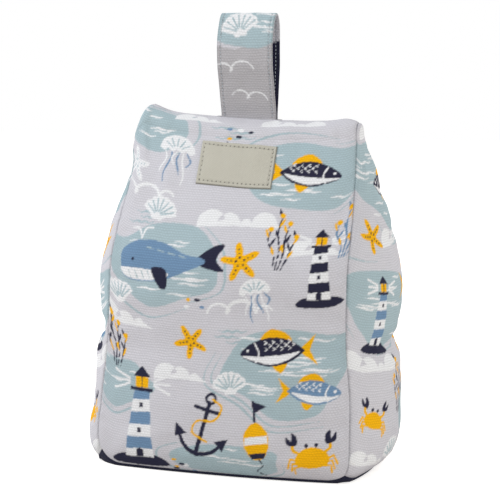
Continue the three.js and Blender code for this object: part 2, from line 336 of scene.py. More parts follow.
def grid_quads(rows, columns, closed=False, offset=0):
    index = np.arange(rows * columns).reshape(rows, columns) + offset
    if closed:
        index = np.concatenate([index, index[:, :1]], axis=1)
    return np.stack([index[:-1, :-1], index[:-1, 1:], index[1:, 1:], index[1:, :-1]], -1).reshape(-1, 4)


def cloth_piece(name, points, u, v, colours, closed=False, outward=True):
    """A grid of cloth, with the flat coordinates in millimetres and the colour of each point: the printed
    colour with any painted shade multiplied in.
    """
    quads = grid_quads(*points.shape[:2], closed)
    mesh = mesh_from(name, points, quads if outward else quads[:, ::-1])
    flat = np.stack([u, v, np.zeros_like(u)], -1).astype(np.float32)
    mesh.attributes.new("flat", "FLOAT_VECTOR", "POINT").data.foreach_set("vector", flat.ravel())
    rgba = np.ones((u.size, 4), np.float32)
    rgba[:, :3] = colours.reshape(-1, 3)
    mesh.attributes.new("print_and_shade", "FLOAT_COLOR", "POINT").data.foreach_set("color", rgba.ravel())
    return new_object(name, mesh)


# Print: flat colours painted onto the points of the cloth
def linear(code):
    channels = np.array([int(code[i : i + 2], 16) for i in (0, 2, 4)]) / 255
    return np.where(channels <= 0.04045, channels / 12.92, ((channels + 0.055) / 1.055) ** 2.4)


GROUND = linear("c8c8d0")
# Painted shade: a darker grey for the lower part of the strap, which faces down.
PAINTED_SHADE = linear("b0afb4")
WHITE = linear("e2e4e8")
MIST = linear("a3b7bf")
BLUE = linear("6c8bac")
MUSTARD = linear("ecb007")
NAVY = linear("23243a")
BASE_NAVY = linear("1e2033")
EDGE = 0.55  # softness of a printed edge


def curve(points, closed=True, steps=6):
    """A smooth line through given points."""
    points = np.array(points, float)
    before, after = (points[-1:], points[:2]) if closed else (points[:1], points[-1:])
    ring = np.concatenate([before, points, after])
    s = np.linspace(0, 1, steps, endpoint=False)[:, None]
    out = []
    for a, b, c, d in zip(ring, ring[1:], ring[2:], ring[3:]):
        bend = 2 * a - 5 * b + 4 * c - d
        twist = 3 * b - a - 3 * c + d
        out.append(0.5 * (2 * b + (c - a) * s + bend * s**2 + twist * s**3))
    if not closed:
        out.append(points[-1:])
    return np.concatenate(out)


def oval(angle, wide, high, x=0.0, y=0.0):
    """Points round an oval, or along an arc of it, at the given angles."""
    return np.stack([x + wide * np.cos(angle), y + high * np.sin(angle)], -1)


def segment_distance(spot, a, b):
    along = b - a
    length = max(float(along @ along), 1e-12)
    share = np.clip(((spot - a) @ along) / length, 0, 1)[:, None]
    return np.linalg.norm(spot - a - along * share, axis=1)


class Painter:
    """The cloth that is being printed: the flat places of its points, and their colours."""

    def __init__(self, u, v):
        self.spots = np.stack([u.ravel(), v.ravel()], -1)
        self.colour = np.tile(GROUND, (u.size, 1))
        self.wobble = 0.16 * dapple(*self.spots.T, 2.6, 5) + 0.1 * dapple(*self.spots.T, 6.0, 6)

    def near(self, points, reach):
        """The points of the cloth within reach of a shape, and their places."""
        low = points.min(0) - reach
        high = points.max(0) + reach
        index = np.flatnonzero(((self.spots > low) & (self.spots < high)).all(axis=1))
        return index, self.spots[index]

    def blend(self, index, distance, colour):
        cover = np.clip(0.5 - (distance + self.wobble[index]) / EDGE, 0, 1)[:, None]
        self.colour[index] += (colour - self.colour[index]) * cover

    def area(self, outline, colour):
        index, spot = self.near(outline, 1)
        if not len(index):
            return
        best = np.full(len(index), np.inf)
        inside = np.zeros(len(index), bool)
        for a, b in zip(outline, np.roll(outline, -1, axis=0)):
            best = np.minimum(best, segment_distance(spot, a, b))
            crosses = (a[1] > spot[:, 1]) != (b[1] > spot[:, 1])
            if crosses.any():
                x = a[0] + (spot[:, 1] - a[1]) * (b[0] - a[0]) / (b[1] - a[1])
                inside ^= crosses & (spot[:, 0] < x)
        self.blend(index, np.where(inside, -best, best), colour)

    def line(self, points, width, colour, taper=0.0, rough=0.0):
        """A brush stroke; taper thins its ends, and rough breaks it up."""
        index, spot = self.near(points, width + 1)
        if not len(index):
            return
        share = np.linspace(0, 1, len(points))
        middle = (share[:-1] + share[1:]) / 2
        halves = width / 2 * (1 - taper * np.abs(2 * middle - 1) ** 1.5)
        best = np.full(len(index), np.inf)
        for a, b, half in zip(points, points[1:], halves):
            best = np.minimum(best, segment_distance(spot, a, b) - half)
        if rough:
            best += rough * np.maximum(0, dapple(*spot.T, 3.0, 9))
        self.blend(index, best, colour)

    def put(self, motif, *places, **looks):
        """Prints a motif at places of x, y, size, turn in degrees and whether it is mirrored."""
        for place in places:
            motif(Stamp(self, *place), **looks)


class Stamp:
    """One place on the cloth, where a motif is drawn in its own coordinates."""

    def __init__(self, paint, x, y, size=1.0, turn=0.0, mirrored=False):
        cos, sin = math.cos(math.radians(turn)), math.sin(math.radians(turn))
        self.matrix = size * np.array([[cos, -sin], [sin, cos]]) @ np.diag([-1.0 if mirrored else 1.0, 1.0])
        self.middle = np.array([x, y])
        self.paint = paint

    def laid(self, points):
        return np.asarray(points, float) @ self.matrix.T + self.middle

    def area(self, points, colour):
        self.paint.area(self.laid(points), colour)

    def blob(self, points, colour):
        self.area(curve(points), colour)

    def block(self, low, high, low_half, high_half, colour):
        """A band across the middle line, with its half width at each of its two heights."""
        self.area([(-low_half, low), (low_half, low), (high_half, high), (-high_half, high)], colour)

    def line(self, points, *brush):
        self.paint.line(self.laid(points), *brush)

    def stroke(self, points, *brush, steps=6):
        self.line(curve(points, closed=False, steps=steps), *brush)

    def dot(self, x, y, radius, colour):
        self.paint.line(self.laid([(x, y)]) + [[0, 0], [0.01, 0]], 2 * radius, colour)


# Motifs, each about 40 mm long at size 1
def fish(at, body=NAVY):
    at.area([(14, 0), (25, 9), (21, 0), (25, -9)], MUSTARD)
    at.blob([(-7, 7), (-1, 14), (8, 11), (10, 5)], MUSTARD)
    at.blob([(-2, -6), (3, -12), (7, -8), (6, -4)], MUSTARD)
    at.blob([(-20, 0), (-13, 6), (-2, 9), (9, 7), (17, 1), (17, -1), (9, -6), (-2, -8), (-13, -5)], body)
    at.blob([(-19, -1), (-8, -2), (6, -1.5), (15, -0.5), (8, -4.8), (-2, -6.8), (-13, -4)], WHITE)
    at.stroke([(-11, 6), (-9, 0), (-11, -5)], 0.9, WHITE)
    for row in range(3):
        for step in range(4):
            x = -5 + 4.6 * step + 2.3 * (row % 2)
            y = 1.2 + 2.0 * row
            at.line([(x, y), (x + 1.4, y + 0.9), (x, y + 1.8)], 0.55, WHITE)
    at.dot(-15.5, 1.8, 0.9, WHITE)


def whale(at):
    at.blob([(18, 1), (26, 8), (33, 9), (29, 2), (33, -4), (26, -3)], NAVY)
    back = [(-24, -1), (-23, 7), (-14, 12), (0, 11), (12, 5), (22, 2.5)]
    at.blob([*back, (22, -0.5), (12, -4), (0, -8), (-14, -8.5), (-22, -6)], BLUE)
    at.blob([(-23.5, -2), (-10, -2.5), (3, -4.5), (0, -7.5), (-14, -8), (-21.5, -5.8)], WHITE)
    for step in range(6):
        x = -19 + 3.6 * step
        at.line([(x, -3.4), (x + 1.2, -7)], 0.6, MIST)
    at.blob([(-6, -2), (-2, -11), (2, -12), (2, -3)], NAVY)
    at.dot(-16.5, 2.4, 0.9, NAVY)
    for step in range(4):
        at.stroke([(-9 + 6 * step, 8.6 - 1.4 * step), (-5 + 6 * step, 7.6 - 1.5 * step)], 0.8, MIST, 0.6)
    for side in (-1, 1):
        at.stroke([(-12, 13), (-12 + 2 * side, 18), (-12 + 6 * side, 18.5)], 1.4, WHITE, 0.5)


def starfish(at, colour=MUSTARD, spots=NAVY):
    angle = np.linspace(0, 2 * math.pi, 60, endpoint=False)
    reach = 14 * (0.36 + 0.64 * (0.5 + 0.5 * np.cos(5 * angle)) ** 1.5)
    at.area(np.stack([reach * np.sin(angle), reach * np.cos(angle)], -1), colour)
    for arm in range(5):
        turn = 2 * math.pi * arm / 5
        for step in (3.0, 6.0, 8.8):
            at.dot(step * math.sin(turn), step * math.cos(turn), 0.75 - 0.03 * step, spots)


def shell(at):
    turn = np.linspace(math.radians(16), math.radians(164), 49)
    rim = 13 + 0.9 * np.abs(np.sin(turn * 8))
    at.area([*oval(turn, rim, rim), (-3, -1.5), (3, -1.5)], WHITE)
    at.block(1.2, -2.6, 5, 4, WHITE)
    for step in range(7):
        angle = math.radians(28 + 20.6 * step)
        at.line([oval(angle, 3, 3), oval(angle, 11.5, 11.5)], 1.0, MIST, 0.5)


def lighthouse(at, band=BLUE):
    def across(level):
        return 8.5 - 3.7 * level / 38

    at.blob([(-17, -4), (-12, 1), (0, 2.5), (12, 1), (18, -4), (9, -6), (-9, -6)], NAVY)
    at.block(0, 38, across(0), across(38), WHITE)
    for low, high in ((5, 12), (19, 26), (33, 38)):
        near, far = across(low), across(high)
        at.area([(-near, low), (near, low + 1), (far, high + 1), (-far, high)], band)
    at.area([(-2, 0), (2, 0), (2, 4.5), (0, 6), (-2, 4.5)], NAVY)
    for level in (15, 29):
        at.block(level, level + 2.6, 1, 1, NAVY)
    at.block(38, 40, 7, 7, NAVY)
    at.block(40, 46, 4, 4, MUSTARD)
    at.line([(0, 40), (0, 46)], 0.6, NAVY)
    at.area([(-5.6, 46), (5.6, 46), (0, 52)], NAVY)
    for side in (-1, 1):
        for rise in (-1, 0, 1):
            at.line([(side * 8, 43 + rise * 1.4), (side * 17, 43 + rise * 5)], 1.5, WHITE, 0.7)


def anchor(at, colour=NAVY):
    at.line(oval(np.linspace(0, 2 * math.pi, 25), 2.6, 2.6, y=17), 1.6, colour)
    at.line([(0, 14.5), (0, -15)], 2.6, colour)
    at.line([(-7, 10.5), (7, 10.5)], 2.2, colour)
    at.line(oval(np.radians(np.linspace(200, 340, 22)), 12.5, 12.5, y=-2.5), 3.0, colour, 0.35)
    for side in (-1, 1):
        at.area([(side * 15.5, -1.5), (side * 14, -9.5), (side * 8, -5.5)], colour)
    at.stroke([(1, 17), (7, 14), (5, 6), (-4, 3), (-5, -4), (4, -7)], 1.3, MUSTARD)


def kelp(at, colour=NAVY, bud=MUSTARD):
    for index, (lean, top) in enumerate(((-9, 26), (-3, 36), (3, 31), (9, 22))):
        knots = [(lean * 0.3, 0), (lean * 0.5 + 1, top * 0.35), (lean * 0.9 - 1, top * 0.7), (lean, top)]
        stem = curve(knots, closed=False)
        at.line(stem, 1.25, colour, 0.3, 0.6)
        for step in range(3 + index % 2):
            spot = stem[int(len(stem) * (0.35 + 0.2 * step))]
            side = 1 if (step + index) % 2 else -1
            leaf = [spot, spot + [side * 2.4, 2.6], spot + [side * 2.8, 6.0], spot + [side * 0.9, 3.6]]
            at.blob(leaf, colour if step % 2 else bud)
        at.dot(lean, top + 1.2, 1.6, bud)


def jelly(at):
    for index, x in enumerate((-8, -4.5, -1, 2.5, 6, 8.5)):
        drop = 15 + 7 * math.sin(2.1 * index)
        wave = [(x + 1.6 * math.sin(0.8 * step + index), -1 - drop * step / 6) for step in range(7)]
        at.stroke(wave, 1.2, BLUE if index % 2 else WHITE, 0.5, steps=4)
    hem = [(-12 + 3 * step, -1.6 if step % 2 else 0.4) for step in range(9)]
    at.area([*oval(np.linspace(0, math.pi, 30), 12, 10.5), *hem], WHITE)
    for turn in (35, 62, 90, 118, 145):
        spoke = math.radians(turn)
        at.line([oval(spoke, 4, 3), oval(spoke, 9.6, 8.3)], 0.9, MIST, 0.4)


def crab(at):
    for side in (-1, 1):
        for step in range(3):
            knee = (side * (13 - step), 1 - 3 * step)
            foot = (side * (15 - 2 * step), -5 - 2.6 * step)
            at.line([(side * 7, -1 - 1.6 * step), knee, foot], 1.3, MUSTARD, 0.3)
        at.stroke([(side * 6, 3), (side * 11, 6), (side * 11, 10)], 1.8, MUSTARD)
        claw = np.array([(9, 9), (8.5, 14), (11.5, 17), (12, 12), (15, 15), (14.5, 10)])
        at.blob(claw * [side, 1], NAVY)
        at.line([(side * 2.4, 4), (side * 3, 8)], 0.9, NAVY)
        at.dot(side * 3, 8.6, 1.1, NAVY)
    angle = np.linspace(0, 2 * math.pi, 36, endpoint=False)
    at.area(oval(angle, 10.5, 6.6, y=-0.8 * np.cos(2 * angle)), MUSTARD)


def buoy(at):
    at.line([(0, 8), (0, 25)], 1.3, NAVY)
    at.area([(0.4, 25), (0.4, 18.5), (8, 21.6)], NAVY)
    at.blob([(0, 13), (6.5, 7), (7, -2), (3, -9), (-3, -9), (-7, -2), (-6.5, 7)], MUSTARD)
    at.block(0, 4.6, 7.1, 6.6, WHITE)
    at.block(-5.5, -9, 5.2, 3.6, NAVY)
    at.stroke([(0, -9), (2, -14), (-2, -18), (3, -22)], 0.9, NAVY, 0.2, 0.4)


def pool(at, wide, high, seed):
    """Still water: a wavy patch with pale streaks and two echoes of its shore."""
    dice = np.random.default_rng(seed)
    turn = np.linspace(0, 2 * math.pi, 11, endpoint=False)
    reach = 1 + dice.uniform(-0.16, 0.16, len(turn))
    shore = oval(turn, wide / 2 * reach, high / 2 * reach)
    at.blob(shore, MIST)
    for grow in (1.13, 1.25):
        start = dice.integers(0, len(turn))
        at.stroke(np.roll(shore, -start, axis=0)[:5] * grow, 1.5, MIST, 0.9)
    for _ in range(max(3, round(wide * high / 260))):
        x = dice.uniform(-0.32, 0.28) * wide
        y = dice.uniform(-0.38, 0.38) * high
        long = dice.uniform(0.16, 0.34) * wide * (1 - abs(2 * y / high) * 0.5)
        streak = np.array([(-long / 2, 0), (-long / 6, 0.5), (long / 6, -0.3), (long / 2, 0.4)])
        at.stroke(streak + [x, y], 1.3, WHITE, 0.9)


def swash(at, crests, width=2.2, reach=9.0):
    """A line of rounded wave crests."""
    angle = np.linspace(math.pi * 0.96, math.pi * 0.12, 9)
    line = []
    for crest in range(crests):
        size = reach * (0.8 + 0.25 * math.sin(2.3 * crest))
        line.extend(oval(angle, size, size * 0.9, x=crest * reach * 1.55))
    at.line(line, width, WHITE, 0.5)


def foam(at, crests):
    """A heap of foam: rounded crests over a flat foot."""
    angle = np.linspace(math.pi * 0.95, math.pi * 0.1, 9)
    top = []
    for crest in range(crests):
        size = 7.5 * (0.75 + 0.35 * math.sin(1.9 * crest + 1))
        top.extend(oval(angle, size, size, x=9.5 * crest))
    at.area([*top, (9.5 * crests - 1, -2.2), (4.8 * crests - 6, -1.2), (-8, -2.6)], WHITE)


def streaks(at, rows, length, seed, colour=MIST):
    dice = np.random.default_rng(seed)
    for row in range(rows):
        start = dice.uniform(-0.3, 0.3) * length
        long = length * dice.uniform(0.5, 1.0)
        y = -3.4 * row
        wave = [(start + long * (step / 6 - 0.5), y + 0.5 * (-1) ** step) for step in range(7)]
        at.stroke(wave, 1.5, colour, 0.85, steps=4)


def pebbles(at, count, seed):
    dice = np.random.default_rng(seed)
    angle = np.linspace(0, 2 * math.pi, 14, endpoint=False)
    for step in range(count):
        x, y, wide, high = [dice.uniform(*span) for span in ((-9, 9), (-5, 5), (1.2, 2.3), (0.8, 1.4))]
        at.area(oval(angle, wide, high, x, y), (NAVY, MUSTARD, BLUE, WHITE)[step % 4])


def pools(paint, *rows):
    for x, y, wide, high, seed in rows:
        paint.put(pool, (x, y), wide=wide, high=high, seed=seed)


def foams(paint, *rows):
    for x, y, size, crests in rows:
        paint.put(foam, (x, y, size), crests=crests)


# Layouts of the motifs
def front_print(paint):
    pools(paint, (-38, 130, 84, 50, 3), (46, 188, 76, 46, 8), (42, 70, 80, 54, 12))
    pools(paint, (-62, 218, 58, 30, 15), (-66, 54, 46, 30, 17), (6, 12, 66, 24, 19))
    foams(paint, (-74, 92, 1.1, 3), (-10, 158, 1.15, 4), (46, 140, 1.0, 3), (-34, 62, 1.0, 3))
    foams(paint, (22, 226, 0.9, 4), (-34, 228, 0.9, 3))
    paint.put(swash, (-70, 172), (0, 102, 1.0, 4), crests=3)
    paint.put(streaks, (-2, 222), rows=3, length=30, seed=2)
    paint.put(streaks, (-58, 162), rows=3, length=26, seed=4)
    paint.put(streaks, (8, 92), rows=3, length=26, seed=6)
    paint.put(whale, (-38, 130, 1.22, 4))
    paint.put(fish, (46, 190, 1.0, -6, True), (34, 80, 1.02, 5))
    paint.put(fish, (58, 56, 0.85, -4, True), body=BLUE)
    paint.put(lighthouse, (-50, 8, 1.12))
    paint.put(lighthouse, (60, 112, 0.82, 2), band=NAVY)
    paint.put(anchor, (-8, 32, 1.12, -14))
    paint.put(buoy, (26, 24, 1.05, 8))
    paint.put(crab, (60, 16, 1.0, 6))
    paint.put(starfish, (12, 134, 0.9, 12), (-18, 84, 0.8, 30))
    paint.put(starfish, (-68, 190, 0.8), colour=WHITE, spots=MIST)
    paint.put(shell, (-46, 160, 0.95, -14), (-66, 106, 0.8, 18), (8, 56, 0.85, 8))
    paint.put(jelly, (-38, 204, 1.0, -8), (22, 116, 0.8, 10))
    paint.put(kelp, (34, 130, 0.9, -4), (-68, 64, 0.8, 6))
    paint.put(kelp, (2, 186, 0.66, 8), bud=BLUE)
    paint.put(kelp, (72, 136, 0.8, -8), colour=BLUE)
    paint.put(pebbles, (-18, 4), count=6, seed=3)
    paint.put(pebbles, (4, 216), count=5, seed=5)
    paint.put(pebbles, (-16, 106), count=4, seed=7)


def gusset_print(paint):
    pools(paint, (10, 184, 78, 56, 21), (-20, 108, 70, 50, 23), (34, 46, 56, 66, 25))
    foams(paint, (-46, 70, 1.2, 4), (-6, 146, 1.1, 4), (-42, 12, 1.0, 3), (0, 212, 0.8, 3))
    paint.put(streaks, (20, 152), rows=3, length=26, seed=22)
    paint.put(streaks, (-16, 196), rows=4, length=34, seed=23, colour=WHITE)
    paint.put(fish, (6, 180, 0.75, -8))
    paint.put(fish, (26, 122, 0.95, 10, True), body=BLUE)
    paint.put(starfish, (-24, 150, 0.8, 20), (20, 84, 0.75, 8))
    paint.put(lighthouse, (-26, 84, 0.82, -3))
    paint.put(kelp, (2, 40, 0.9, 5))
    paint.put(crab, (-32, 38, 0.8, -10))
    paint.put(shell, (-8, 14, 0.9, 6))
    paint.put(anchor, (38, 50, 0.8, 12), colour=WHITE)
    paint.put(jelly, (-32, 200, 0.7, 5))
    paint.put(pebbles, (18, 20), count=6, seed=31)


def strap_print(paint):
    """The outer face runs along u 0, and the inner face along u STRAP_INSIDE."""
    # Painted shade on the lower strap: a darker grey ground where that part faces down, away from the
    # lamps.
    paint.area(np.array([(-26, -5), (26, -5), (26, 56), (12, 59), (-6, 54), (-26, 57)]), PAINTED_SHADE)
    pools(paint, (0, 82, 58, 56, 41), (8, 138, 46, 30, 43))
    paint.put(shell, (-3, 64, 0.95, 14))
    paint.put(streaks, (2, 98), rows=4, length=30, seed=44, colour=WHITE)
    paint.put(swash, (-14, 40), crests=2, width=1.1, reach=8)
    paint.put(swash, (-4, 24, 1.0, -12), crests=2, width=1.1, reach=7)
    paint.put(kelp, (8, 106, 0.6, 4), bud=BLUE)
    paint.put(fish, (2, 136, 0.65, 12))
    dark = np.array([(-24, 96), (-8, 91), (8, 97), (24, 93), (26, 180), (-26, 180)])
    paint.area(dark + [STRAP_INSIDE, 0], NAVY)


def painted(u, v, design, shift=(0.0, 0.0), turn=False):
    """Colours of a design at flat cloth coordinates; turn rotates the cloth by half a turn."""
    sign = -1.0 if turn else 1.0
    paint = Painter(sign * u + shift[0], v + shift[1])
    design(paint)
    return paint.colour


# Folds and seams that the cloth takes on, and the shade painted along the seams
def seam_groove(distance):
    return -0.7 * np.exp(-((distance / 0.6) ** 2))


def seam_pucker(distance, along, seed):
    fine = ripple(along, (3.1, 4.3), seed) * 0.13 * np.exp(-distance / 1.8)
    fade = 0.6 * np.exp(-distance / 7.0) * ease(distance / 2.5)
    return fine + ripple(along, (9.0, 13.0, 21.0), seed + 1) * fade


def seam_shade(distance, along, seed):
    """How much light the cloth keeps close to a seam, as painted shade: a dark line, uneven along it like
    small stitches, and a faint wider shade beside it.
    """
    uneven = 0.6 + 0.4 * ripple(along, (2.6, 3.7, 23.0), seed)
    line = 0.34 * uneven * np.exp(-((distance / 0.4) ** 2))
    return (1 - line) * (1 - 0.05 * np.exp(-distance / 2.0))


def toward(direction, seam_direction, distance):
    """Own normals in the field, the shared seam normal close to a seam."""
    share = ease(distance / 4.0)[..., None]
    mixed = seam_direction * (1 - share) + direction * share
    return mixed / np.linalg.norm(mixed, axis=-1, keepdims=True)


# Soft folds of the ears: place across the panel, width, length down from the ridge, depth
EAR_FOLDS = ((-0.84, 3.4, 44.0, 0.9), (-0.70, 4.0, 30.0, -0.5), (0.86, 3.0, 32.0, 0.6))
# Pinch folds of the gussets: height above the waist, tilt, width, depth
WAIST_FOLDS = ((-6.0, 0.04, 2.2, 0.9), (6.0, -0.10, 3.4, 0.5), (-13.0, 0.12, 3.6, 0.5))


def panel_folds(t, height, across, climb, seed):
    """Soft relief of the front and back panels, in millimetres outwards."""
    seam_side = (1 - np.abs(t)) * right_width(height)
    field = ease(seam_side / 12) * ease((climb - 2) / 14)
    relief = 0.5 * dapple(across, climb, 46, seed) * field
    relief += 0.25 * dapple(across, climb * 0.6, 17, seed + 1) * field
    for place, width, reach, depth in EAR_FOLDS:
        middle = place * right_width(height)
        down = RIDGE_HEIGHT - height
        fade = ease((reach - down) / 24) * ease((down + 1) / 8)
        relief -= depth * np.exp(-(((t * right_width(height) - middle) / width) ** 2)) * fade
    waist = 0.5 * np.exp(-(((height - WAIST_HEIGHT) / 7) ** 2)) * (0.35 + 0.65 * np.abs(t) ** 2)
    return relief - waist * ease(seam_side / 8)


def gusset_folds(s, height, across, climb, seed):
    seam_side = (1 - np.abs(s)) * seam_depth(height)
    field = ease(seam_side / 10) * ease((climb - 2) / 14)
    relief = 0.45 * dapple(across, climb, 38, seed) * field
    relief += 0.25 * dapple(across * 0.7, climb, 15, seed + 1) * field
    for above, tilt, width, depth in WAIST_FOLDS:
        line = WAIST_HEIGHT + above + tilt * across
        relief -= depth * np.exp(-(((height - line) / width) ** 2)) * ease(seam_side / 9)
    return relief


class Wall:
    """One upright panel: its grid of points and its flat coordinates in millimetres."""

    def __init__(self, share, points, folds, seed, settled):
        self.share = share
        self.points = points
        self.folds = folds
        self.seed = seed
        self.settled = settled
        self.height = np.repeat(LEVELS[:, None], points.shape[1], axis=1)
        self.climb = arc_lengths(points, 0)
        across = arc_lengths(points, 1)
        self.from_start = across
        self.from_end = across[:, -1:] - across
        self.across = across - across[:, -1:] / 2
        self.from_ridge = self.climb[-1] - self.climb
        self.normal = grid_normals(points)
        self.shade = np.ones_like(across)

    def dress(self, before, after):
        """Adds the folds and the seams, and the shade painted along the seams, with the walls before and
        after it round the body.
        """
        start = self.normal[:, 0] + before.normal[:, -1]
        end = self.normal[:, -1] + after.normal[:, 0]
        start /= np.linalg.norm(start, axis=1, keepdims=True)
        end /= np.linalg.norm(end, axis=1, keepdims=True)
        shape = self.normal.shape
        direction = toward(self.normal, np.broadcast_to(start[:, None], shape), self.from_start)
        direction = toward(direction, np.broadcast_to(end[:, None], shape), self.from_end)
        relief = self.folds(self.share, self.height, self.across, self.climb, self.seed)
        relief += self.settled_relief()
        for distance, seed in ((self.from_start, self.seed), (self.from_end, after.seed)):
            relief += seam_groove(distance) + seam_pucker(distance, self.height, seed)
            # painted shade along the side seams, kept in self.shade and multiplied into the printed colours
            self.shade *= seam_shade(distance, self.height, seed)
        relief *= ease(self.climb / 3) * ease(self.from_ridge / 3)
        relief += seam_groove(self.from_ridge) * 0.5
        # painted shade along the ridge seam and the base seam
        self.shade *= seam_shade(self.from_ridge, self.across, 7)
        self.shade *= seam_shade(self.climb, self.across, 8)
        return self.points + direction * relief[..., None]

    def settled_relief(self):
        """The simulated creases at the points of this finer grid, faded out at the seams."""
        rows, columns = self.settled.shape
        row = np.interp(self.height, SETTLED_LEVELS, np.arange(rows))
        share = np.linspace(self.share[0, 0], self.share[0, -1], columns)
        turn = np.sign(share[-1])
        column = np.interp(self.share * turn, share * turn, np.arange(columns))
        fade = ease(np.minimum(self.from_start, self.from_end) / 7) * ease(self.climb / 10)
        return sample(self.settled[..., None], row, column)[..., 0] * fade


# Simulated cloth: a coarse skin of the four walls, blown out by its filling while the seams draw in
SETTLED_LEVELS = np.linspace(SEAM_HEIGHT, CROWN_START + 0.7 * CROWN_HEIGHT, 59)
SETTLED_COLUMNS = (45, 29)
SETTLED_FRAMES = 20
SETTLED_SOFTENING = 0.9
SETTLED_BROAD = 5.0  # the broad shape is taken off, because the fitted walls have it
SETTLED_SHARE = 0.6
SETTLED_CLOTH = {
    "quality": 6,
    "mass": 0.2,
    "tension_stiffness": 30,
    "compression_stiffness": 30,
    "shear_stiffness": 10,
    "bending_stiffness": 2.0,
    "use_pressure": True,
    "uniform_pressure_force": 4,
    "vertex_group_mass": "held",
    "vertex_group_shrink": "seams",
    "shrink_min": -0.025,
    "shrink_max": 0.0,
}


def settle(grids):
    """Runs the cloth simulation and returns how far each wall creases outwards, in millimetres."""
    ring = np.concatenate([grid[:, :-1] for grid in grids], axis=1)
    outward = np.concatenate([grid_normals(grid)[:, :-1] for grid in grids], axis=1)
    rows, columns = ring.shape[:2]
    corners = np.cumsum([0] + [grid.shape[1] - 1 for grid in grids])
    uneven = 0.4 * dapple(*np.meshgrid(np.arange(float(columns)), np.arange(float(rows))), 5.0, 33)
    start = ring + outward * uneven[..., None]
    mesh = mesh_from("cloth_to_settle", start, grid_quads(rows, columns, closed=True))
    skin = new_object("cloth_to_settle", mesh)
    held = skin.vertex_groups.new(name="held")
    seams = skin.vertex_groups.new(name="seams")
    for row in range(rows):
        for column in range(columns):
            away = min(np.abs(corners - column).min(), row, rows - 1 - row)
            seams.add([row * columns + column], math.exp(-away / 2), "ADD")
            if away == 0:
                held.add([row * columns + column], 1.0, "ADD")
    cloth = skin.modifiers.new("filled", "CLOTH")
    cloth.collision_settings.use_collision = False
    for name, value in SETTLED_CLOTH.items():
        setattr(cloth.settings, name, value)
    cloth.settings.effector_weights.gravity = 0
    for step in range(1, SETTLED_FRAMES + 1):
        bpy.context.scene.frame_set(step)
    shape = skin.evaluated_get(bpy.context.evaluated_depsgraph_get()).to_mesh()
    places = np.empty(rows * columns * 3, np.float32)
    shape.vertices.foreach_get("co", places)
    moved = places.reshape(rows, columns, 3) / MM - ring
    bpy.data.objects.remove(skin)
    bpy.context.scene.frame_set(1)
    creases = []
    for start, grid in zip(corners, grids):
        index = np.arange(start, start + grid.shape[1]) % columns
        outwards = (moved[:, index] * grid_normals(grid)).sum(-1)
        fine = blurred(outwards, SETTLED_SOFTENING) - blurred(outwards, SETTLED_BROAD)
        creases.append(SETTLED_SHARE * fine)
    return creases


def blurred(values, reach):
    """A grid of values smoothed over a reach in cells."""
    for axis in (0, 1):
        place = np.arange(values.shape[axis])
        weight = np.exp(-(((place[:, None] - place[None]) / reach) ** 2))
        weight /= weight.sum(1, keepdims=True)
        values = np.moveaxis(np.tensordot(weight, values, (1, axis)), 0, axis)
    return values


def edge_spaced(count):
    """Columns from -1 to 1, closer together at the seams."""
    turn = np.linspace(-1, 1, count) * SEAM_PACKING * math.pi
    return np.sin(turn) / np.sin(turn[-1])


def four_walls(t, height, s, side_height):
    """Front, right, back and left, each with its columns to the right seen from outside."""
    return [
        front_wall(t, height),
        gusset_wall(s, side_height, 1),
        front_wall(-t, height) * [1, -1, 1],
        gusset_wall(-s, side_height, -1),
    ]


def build_walls():
    """The four walls, in the order front, right, back and left, sharing their seam points."""
    t, height = np.meshgrid(edge_spaced(PANEL_COLUMNS), LEVELS)
    s, side_height = np.meshgrid(edge_spaced(GUSSET_COLUMNS), LEVELS)
    coarse_t, level = np.meshgrid(np.linspace(-1, 1, SETTLED_COLUMNS[0]), SETTLED_LEVELS)
    coarse_s, side_level = np.meshgrid(np.linspace(-1, 1, SETTLED_COLUMNS[1]), SETTLED_LEVELS)
    settled = settle(four_walls(coarse_t, level, coarse_s, side_level))
    shares = (t, s, -t, -s)
    folds = (panel_folds, gusset_folds, panel_folds, gusset_folds)
    grids = four_walls(t, height, s, side_height)
    walls = [Wall(*parts) for parts in zip(shares, grids, folds, (61, 71, 81, 91), settled)]
    dressed = [wall.dress(walls[i - 1], walls[(i + 1) % 4]) for i, wall in enumerate(walls)]
    for wall, points in zip(walls, dressed):
        wall.points = points
    return walls


def build_base(walls):
    """The base panel, spun from the lowest row of each wall and curled flat to the floor."""
    front, right, back, left = [wall.points[0] for wall in walls]
    columns = np.linspace(0, 1, len(front))
    rows = np.linspace(0, 1, len(right))
    a, b = [share[..., None] for share in np.meshgrid(columns, rows)]
    far = back[::-1]
    sides = (1 - a) * left[::-1, None] + a * right[:, None]
    ends = (1 - b) * front[None] + b * far[None]
    near_corners = (1 - a) * front[0] + a * front[-1]
    far_corners = (1 - a) * far[0] + a * far[-1]
    patch = sides + ends - (1 - b) * near_corners - b * far_corners
    rim = patch[..., 2]
    width = np.linalg.norm(front[-1] - front[0])
    depth = np.linalg.norm(right[-1] - right[0])
    beside = np.minimum(a, 1 - a)[..., 0] * width
    below = np.minimum(b, 1 - b)[..., 0] * depth
    edge = 1 - np.clip(np.minimum(beside, below) / BASE_CURL, 0, 1)
    curled = rim * (1 - np.cbrt(1 - edge**3))
    reach = np.where(a[..., 0] < 0.5, LEFT_CORNER_RADIUS + 2, CORNER_RADIUS)
    top = np.where(a[..., 0] < 0.5, front[0, 2], front[-1, 2])
    drawn = top * np.clip(1 - np.hypot(beside, below) / reach, 0, 1) ** CORNER_DRAW
    patch[..., 2] = np.maximum(curled, np.minimum(drawn, rim))
    return patch


def sample(grid, row, column):
    """Values of a grid between its points."""
    row = np.clip(row, 0, grid.shape[0] - 1.001)
    column = np.clip(column, 0, grid.shape[1] - 1.001)
    i = row.astype(int)
    j = column.astype(int)
    down = (row - i)[..., None]
    over = (column - j)[..., None]
    low = grid[i, j] * (1 - over) + grid[i, j + 1] * over
    high = grid[i + 1, j] * (1 - over) + grid[i + 1, j + 1] * over
    return low * (1 - down) + high * down


